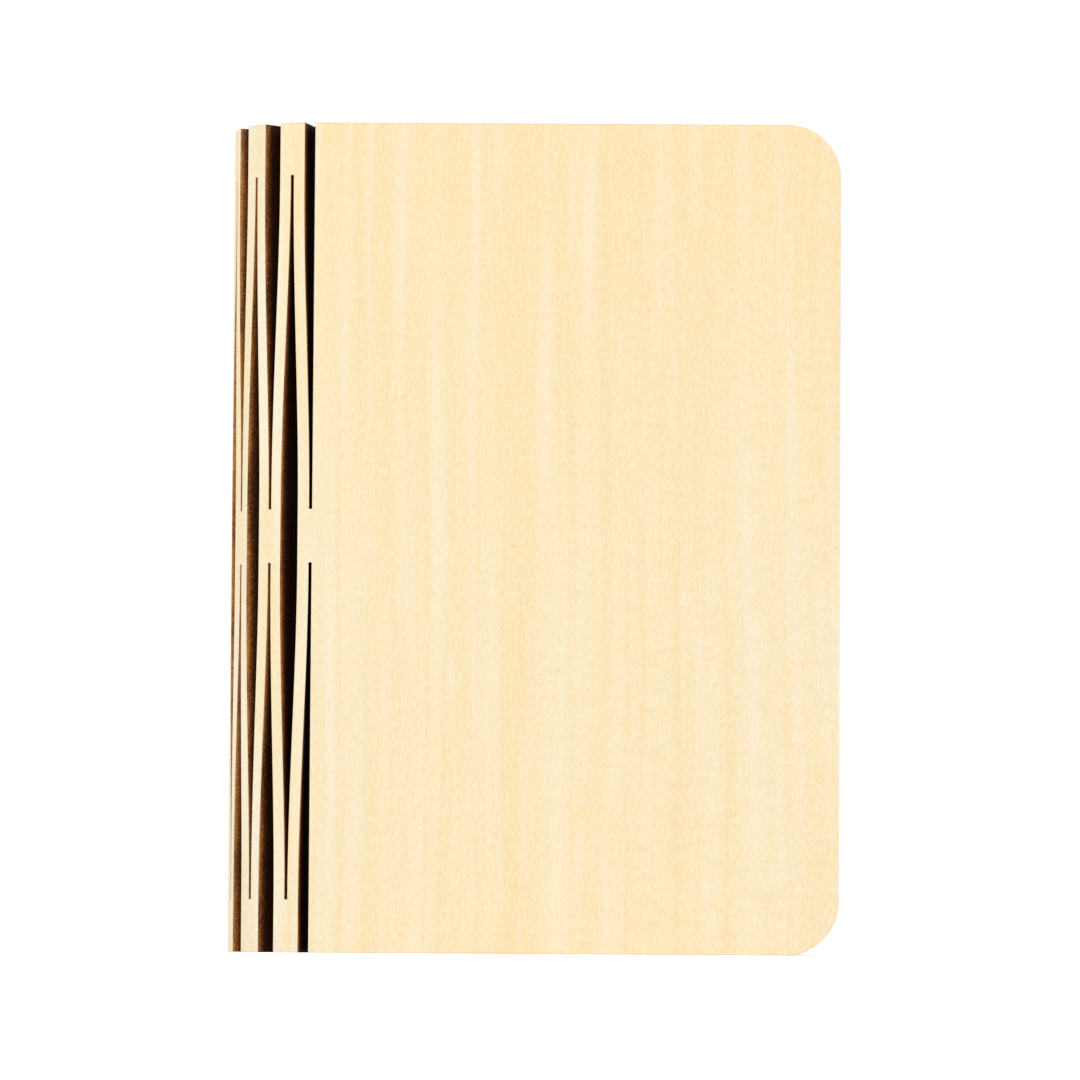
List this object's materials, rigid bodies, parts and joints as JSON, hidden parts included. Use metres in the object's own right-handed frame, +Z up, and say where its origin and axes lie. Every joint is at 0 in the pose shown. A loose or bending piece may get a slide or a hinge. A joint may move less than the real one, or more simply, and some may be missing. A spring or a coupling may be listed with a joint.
{
  "type": "folding book lamp",
  "caption": "Small wooden book that stands upright and opens past a full turn on a living-hinge spine, fanning out lit accordion pages from a slim lamp core.",
  "frame": {"origin": "middle of the shut book's bounding box, on the surface that it stands on", "axes": "+Z up along the spine, +X from the spine towards the fore-edge, +Y from the front cover towards the back cover"},
  "size_m": [0.09, 0.0246, 0.122],
  "materials": {
    "maple_board": "pale maple veneer, fine satin grain, edges charred brown by the laser",
    "page_paper": "matt white spun tear-proof paper",
    "core_plastic": "fine matt moulded black",
    "diffuser_plastic": "milky translucent",
    "adhesive": "closed-cell foam tape",
    "screw_steel": "zinc-plated",
    "magnet_nickel": "bright nickel plate",
    "strap_nickel": "bare nickel strip",
    "light_board_white": "white solder mask",
    "led_package": "yellow phosphor in a white frame",
    "control_board_green": "green solder mask",
    "chip_black": "moulded epoxy",
    "cell_wrap": "heat-shrunk blue sleeve",
    "socket_steel": "nickel-plated sheet",
    "lens_plastic": "clear light pipe"
  },
  "bodies": {
    "core": {"spine_link_6": "maple_board", "core_tube": "core_plastic", "core_pad": "adhesive", "top_cap": "core_plastic", "bottom_cap": "core_plastic", "cap_screws": "screw_steel", "diffuser": "diffuser_plastic", "light_board": "light_board_white", "leds": "led_package", "cell": "cell_wrap", "cell_straps": "strap_nickel", "control_board": "control_board_green", "board_parts": "chip_black", "field_sensor": "chip_black", "socket_shell": "socket_steel", "socket_tongue": "chip_black", "indicator_lens": "lens_plastic"},
    "spine_link_5": {"spine_link_5": "maple_board"},
    "spine_link_4": {"spine_link_4": "maple_board"},
    "spine_link_3": {"spine_link_3": "maple_board"},
    "spine_link_2": {"spine_link_2": "maple_board"},
    "spine_link_1": {"spine_link_1": "maple_board"},
    "front_cover": {"front_cover": "maple_board", "front_magnets": "magnet_nickel", "trigger_magnet": "magnet_nickel", "front_endpaper": "page_paper"},
    "spine_link_7": {"spine_link_7": "maple_board"},
    "spine_link_8": {"spine_link_8": "maple_board"},
    "spine_link_9": {"spine_link_9": "maple_board"},
    "spine_link_10": {"spine_link_10": "maple_board"},
    "spine_link_11": {"spine_link_11": "maple_board"},
    "back_cover": {"back_cover": "maple_board", "back_magnets": "magnet_nickel", "back_endpaper": "page_paper"},
    "front_leaf_1": {"front_leaf_1": "page_paper"},
    "front_leaf_2": {"front_leaf_2": "page_paper"},
    "front_leaf_3": {"front_leaf_3": "page_paper"},
    "front_leaf_4": {"front_leaf_4": "page_paper"},
    "front_leaf_5": {"front_leaf_5": "page_paper"},
    "front_leaf_6": {"front_leaf_6": "page_paper"},
    "front_leaf_7": {"front_leaf_7": "page_paper"},
    "front_leaf_8": {"front_leaf_8": "page_paper"},
    "front_leaf_9": {"front_leaf_9": "page_paper"},
    "front_leaf_10": {"front_leaf_10": "page_paper"},
    "front_leaf_11": {"front_leaf_11": "page_paper"},
    "back_leaf_1": {"back_leaf_1": "page_paper"},
    "back_leaf_2": {"back_leaf_2": "page_paper"},
    "back_leaf_3": {"back_leaf_3": "page_paper"},
    "back_leaf_4": {"back_leaf_4": "page_paper"},
    "back_leaf_5": {"back_leaf_5": "page_paper"},
    "back_leaf_6": {"back_leaf_6": "page_paper"},
    "back_leaf_7": {"back_leaf_7": "page_paper"},
    "back_leaf_8": {"back_leaf_8": "page_paper"},
    "back_leaf_9": {"back_leaf_9": "page_paper"},
    "back_leaf_10": {"back_leaf_10": "page_paper"},
    "back_leaf_11": {"back_leaf_11": "page_paper"}
  },
  "joints": [
    {"name": "spine_hinge_1", "type": "hinge", "parent": "spine_link_1", "child": "front_cover", "pos_m": [-0.03399, -0.01018, 0.061], "axis": [0, 0, -1], "range_deg": [0, 30.9]},
    {"name": "spine_hinge_2", "type": "hinge", "parent": "spine_link_2", "child": "spine_link_1", "pos_m": [-0.03658, -0.00948, 0.061], "axis": [0, 0, -1], "range_deg": [0, 30.9]},
    {"name": "spine_hinge_3", "type": "hinge", "parent": "spine_link_3", "child": "spine_link_2", "pos_m": [-0.0389, -0.00814, 0.061], "axis": [0, 0, -1], "range_deg": [0, 30.9]},
    {"name": "spine_hinge_4", "type": "hinge", "parent": "spine_link_4", "child": "spine_link_3", "pos_m": [-0.0408, -0.00625, 0.061], "axis": [0, 0, -1], "range_deg": [0, 30.9]},
    {"name": "spine_hinge_5", "type": "hinge", "parent": "spine_link_5", "child": "spine_link_4", "pos_m": [-0.04214, -0.00393, 0.061], "axis": [0, 0, -1], "range_deg": [0, 30.9]},
    {"name": "spine_hinge_6", "type": "hinge", "parent": "core", "child": "spine_link_5", "pos_m": [-0.04283, -0.00134, 0.061], "axis": [0, 0, -1], "range_deg": [0, 30.9]},
    {"name": "spine_hinge_7", "type": "hinge", "parent": "core", "child": "spine_link_7", "pos_m": [-0.04283, 0.00134, 0.061], "axis": [0, 0, 1], "range_deg": [0, 30.9]},
    {"name": "spine_hinge_8", "type": "hinge", "parent": "spine_link_7", "child": "spine_link_8", "pos_m": [-0.04214, 0.00393, 0.061], "axis": [0, 0, 1], "range_deg": [0, 30.9]},
    {"name": "spine_hinge_9", "type": "hinge", "parent": "spine_link_8", "child": "spine_link_9", "pos_m": [-0.0408, 0.00625, 0.061], "axis": [0, 0, 1], "range_deg": [0, 30.9]},
    {"name": "spine_hinge_10", "type": "hinge", "parent": "spine_link_9", "child": "spine_link_10", "pos_m": [-0.0389, 0.00814, 0.061], "axis": [0, 0, 1], "range_deg": [0, 30.9]},
    {"name": "spine_hinge_11", "type": "hinge", "parent": "spine_link_10", "child": "spine_link_11", "pos_m": [-0.03658, 0.00948, 0.061], "axis": [0, 0, 1], "range_deg": [0, 30.9]},
    {"name": "spine_hinge_12", "type": "hinge", "parent": "spine_link_11", "child": "back_cover", "pos_m": [-0.03399, 0.01018, 0.061], "axis": [0, 0, 1], "range_deg": [0, 30.9]},
    {"name": "front_fold_1", "type": "hinge", "parent": "front_cover", "child": "front_leaf_1", "pos_m": [0.03998, -0.0077, 0.061], "axis": [0, 0, -1], "range_deg": [0, 2.85]},
    {"name": "front_fold_2", "type": "hinge", "parent": "front_leaf_1", "child": "front_leaf_2", "pos_m": [-0.01802, -0.007, 0.061], "axis": [0, 0, 1], "range_deg": [0, 51.95]},
    {"name": "front_fold_3", "type": "hinge", "parent": "front_leaf_2", "child": "front_leaf_3", "pos_m": [0.03998, -0.0063, 0.061], "axis": [0, 0, -1], "range_deg": [0, 5.35]},
    {"name": "front_fold_4", "type": "hinge", "parent": "front_leaf_3", "child": "front_leaf_4", "pos_m": [-0.01802, -0.0056, 0.061], "axis": [0, 0, 1], "range_deg": [0, 46.75]},
    {"name": "front_fold_5", "type": "hinge", "parent": "front_leaf_4", "child": "front_leaf_5", "pos_m": [0.03998, -0.0049, 0.061], "axis": [0, 0, -1], "range_deg": [0, 15.85]},
    {"name": "front_fold_6", "type": "hinge", "parent": "front_leaf_5", "child": "front_leaf_6", "pos_m": [-0.01802, -0.0042, 0.061], "axis": [0, 0, 1], "range_deg": [0, 37.95]},
    {"name": "front_fold_7", "type": "hinge", "parent": "front_leaf_6", "child": "front_leaf_7", "pos_m": [0.03998, -0.0035, 0.061], "axis": [0, 0, -1], "range_deg": [0, 19.05]},
    {"name": "front_fold_8", "type": "hinge", "parent": "front_leaf_7", "child": "front_leaf_8", "pos_m": [-0.01802, -0.0028, 0.061], "axis": [0, 0, 1], "range_deg": [0, 40.65]},
    {"name": "front_fold_9", "type": "hinge", "parent": "front_leaf_8", "child": "front_leaf_9", "pos_m": [0.03998, -0.0021, 0.061], "axis": [0, 0, -1], "range_deg": [0, 16.05]},
    {"name": "front_fold_10", "type": "hinge", "parent": "front_leaf_9", "child": "front_leaf_10", "pos_m": [-0.01802, -0.0014, 0.061], "axis": [0, 0, 1], "range_deg": [0, 51.75]},
    {"name": "front_fold_11", "type": "hinge", "parent": "front_leaf_10", "child": "front_leaf_11", "pos_m": [0.03998, -0.0007, 0.061], "axis": [0, 0, -1], "range_deg": [0, 10.25]},
    {"name": "back_fold_1", "type": "hinge", "parent": "back_cover", "child": "back_leaf_1", "pos_m": [0.03998, 0.0077, 0.061], "axis": [0, 0, 1], "range_deg": [0, 2.85]},
    {"name": "back_fold_2", "type": "hinge", "parent": "back_leaf_1", "child": "back_leaf_2", "pos_m": [-0.01802, 0.007, 0.061], "axis": [0, 0, -1], "range_deg": [0, 51.95]},
    {"name": "back_fold_3", "type": "hinge", "parent": "back_leaf_2", "child": "back_leaf_3", "pos_m": [0.03998, 0.0063, 0.061], "axis": [0, 0, 1], "range_deg": [0, 5.35]},
    {"name": "back_fold_4", "type": "hinge", "parent": "back_leaf_3", "child": "back_leaf_4", "pos_m": [-0.01802, 0.0056, 0.061], "axis": [0, 0, -1], "range_deg": [0, 46.75]},
    {"name": "back_fold_5", "type": "hinge", "parent": "back_leaf_4", "child": "back_leaf_5", "pos_m": [0.03998, 0.0049, 0.061], "axis": [0, 0, 1], "range_deg": [0, 15.85]},
    {"name": "back_fold_6", "type": "hinge", "parent": "back_leaf_5", "child": "back_leaf_6", "pos_m": [-0.01802, 0.0042, 0.061], "axis": [0, 0, -1], "range_deg": [0, 37.95]},
    {"name": "back_fold_7", "type": "hinge", "parent": "back_leaf_6", "child": "back_leaf_7", "pos_m": [0.03998, 0.0035, 0.061], "axis": [0, 0, 1], "range_deg": [0, 19.05]},
    {"name": "back_fold_8", "type": "hinge", "parent": "back_leaf_7", "child": "back_leaf_8", "pos_m": [-0.01802, 0.0028, 0.061], "axis": [0, 0, -1], "range_deg": [0, 40.65]},
    {"name": "back_fold_9", "type": "hinge", "parent": "back_leaf_8", "child": "back_leaf_9", "pos_m": [0.03998, 0.0021, 0.061], "axis": [0, 0, 1], "range_deg": [0, 16.05]},
    {"name": "back_fold_10", "type": "hinge", "parent": "back_leaf_9", "child": "back_leaf_10", "pos_m": [-0.01802, 0.0014, 0.061], "axis": [0, 0, -1], "range_deg": [0, 51.75]},
    {"name": "back_fold_11", "type": "hinge", "parent": "back_leaf_10", "child": "back_leaf_11", "pos_m": [0.03998, 0.0007, 0.061], "axis": [0, 0, 1], "range_deg": [0, 10.25]}
  ],
  "couplings": [
    {"joint": "spine_hinge_1", "follows": "spine_hinge_6", "ratio": 1},
    {"joint": "spine_hinge_2", "follows": "spine_hinge_6", "ratio": 1},
    {"joint": "spine_hinge_3", "follows": "spine_hinge_6", "ratio": 1},
    {"joint": "spine_hinge_4", "follows": "spine_hinge_6", "ratio": 1},
    {"joint": "spine_hinge_5", "follows": "spine_hinge_6", "ratio": 1},
    {"joint": "spine_hinge_7", "follows": "spine_hinge_6", "ratio": 1},
    {"joint": "spine_hinge_8", "follows": "spine_hinge_6", "ratio": 1},
    {"joint": "spine_hinge_9", "follows": "spine_hinge_6", "ratio": 1},
    {"joint": "spine_hinge_10", "follows": "spine_hinge_6", "ratio": 1},
    {"joint": "spine_hinge_11", "follows": "spine_hinge_6", "ratio": 1},
    {"joint": "spine_hinge_12", "follows": "spine_hinge_6", "ratio": 1},
    {"joint": "front_fold_1", "follows": "spine_hinge_6", "ratio": 0.09061},
    {"joint": "front_fold_2", "follows": "spine_hinge_6", "ratio": 1.6796},
    {"joint": "front_fold_3", "follows": "spine_hinge_6", "ratio": 0.17152},
    {"joint": "front_fold_4", "follows": "spine_hinge_6", "ratio": 1.5113},
    {"joint": "front_fold_5", "follows": "spine_hinge_6", "ratio": 0.51133},
    {"joint": "front_fold_6", "follows": "spine_hinge_6", "ratio": 1.2265},
    {"joint": "front_fold_7", "follows": "spine_hinge_6", "ratio": 0.61489},
    {"joint": "front_fold_8", "follows": "spine_hinge_6", "ratio": 1.3139},
    {"joint": "front_fold_9", "follows": "spine_hinge_6", "ratio": 0.5178},
    {"joint": "front_fold_10", "follows": "spine_hinge_6", "ratio": 1.6731},
    {"joint": "front_fold_11", "follows": "spine_hinge_6", "ratio": 0.3301},
    {"joint": "back_fold_1", "follows": "spine_hinge_6", "ratio": 0.09061},
    {"joint": "back_fold_2", "follows": "spine_hinge_6", "ratio": 1.6796},
    {"joint": "back_fold_3", "follows": "spine_hinge_6", "ratio": 0.17152},
    {"joint": "back_fold_4", "follows": "spine_hinge_6", "ratio": 1.5113},
    {"joint": "back_fold_5", "follows": "spine_hinge_6", "ratio": 0.51133},
    {"joint": "back_fold_6", "follows": "spine_hinge_6", "ratio": 1.2265},
    {"joint": "back_fold_7", "follows": "spine_hinge_6", "ratio": 0.61489},
    {"joint": "back_fold_8", "follows": "spine_hinge_6", "ratio": 1.3139},
    {"joint": "back_fold_9", "follows": "spine_hinge_6", "ratio": 0.5178},
    {"joint": "back_fold_10", "follows": "spine_hinge_6", "ratio": 1.6731},
    {"joint": "back_fold_11", "follows": "spine_hinge_6", "ratio": 0.3301}
  ]
}
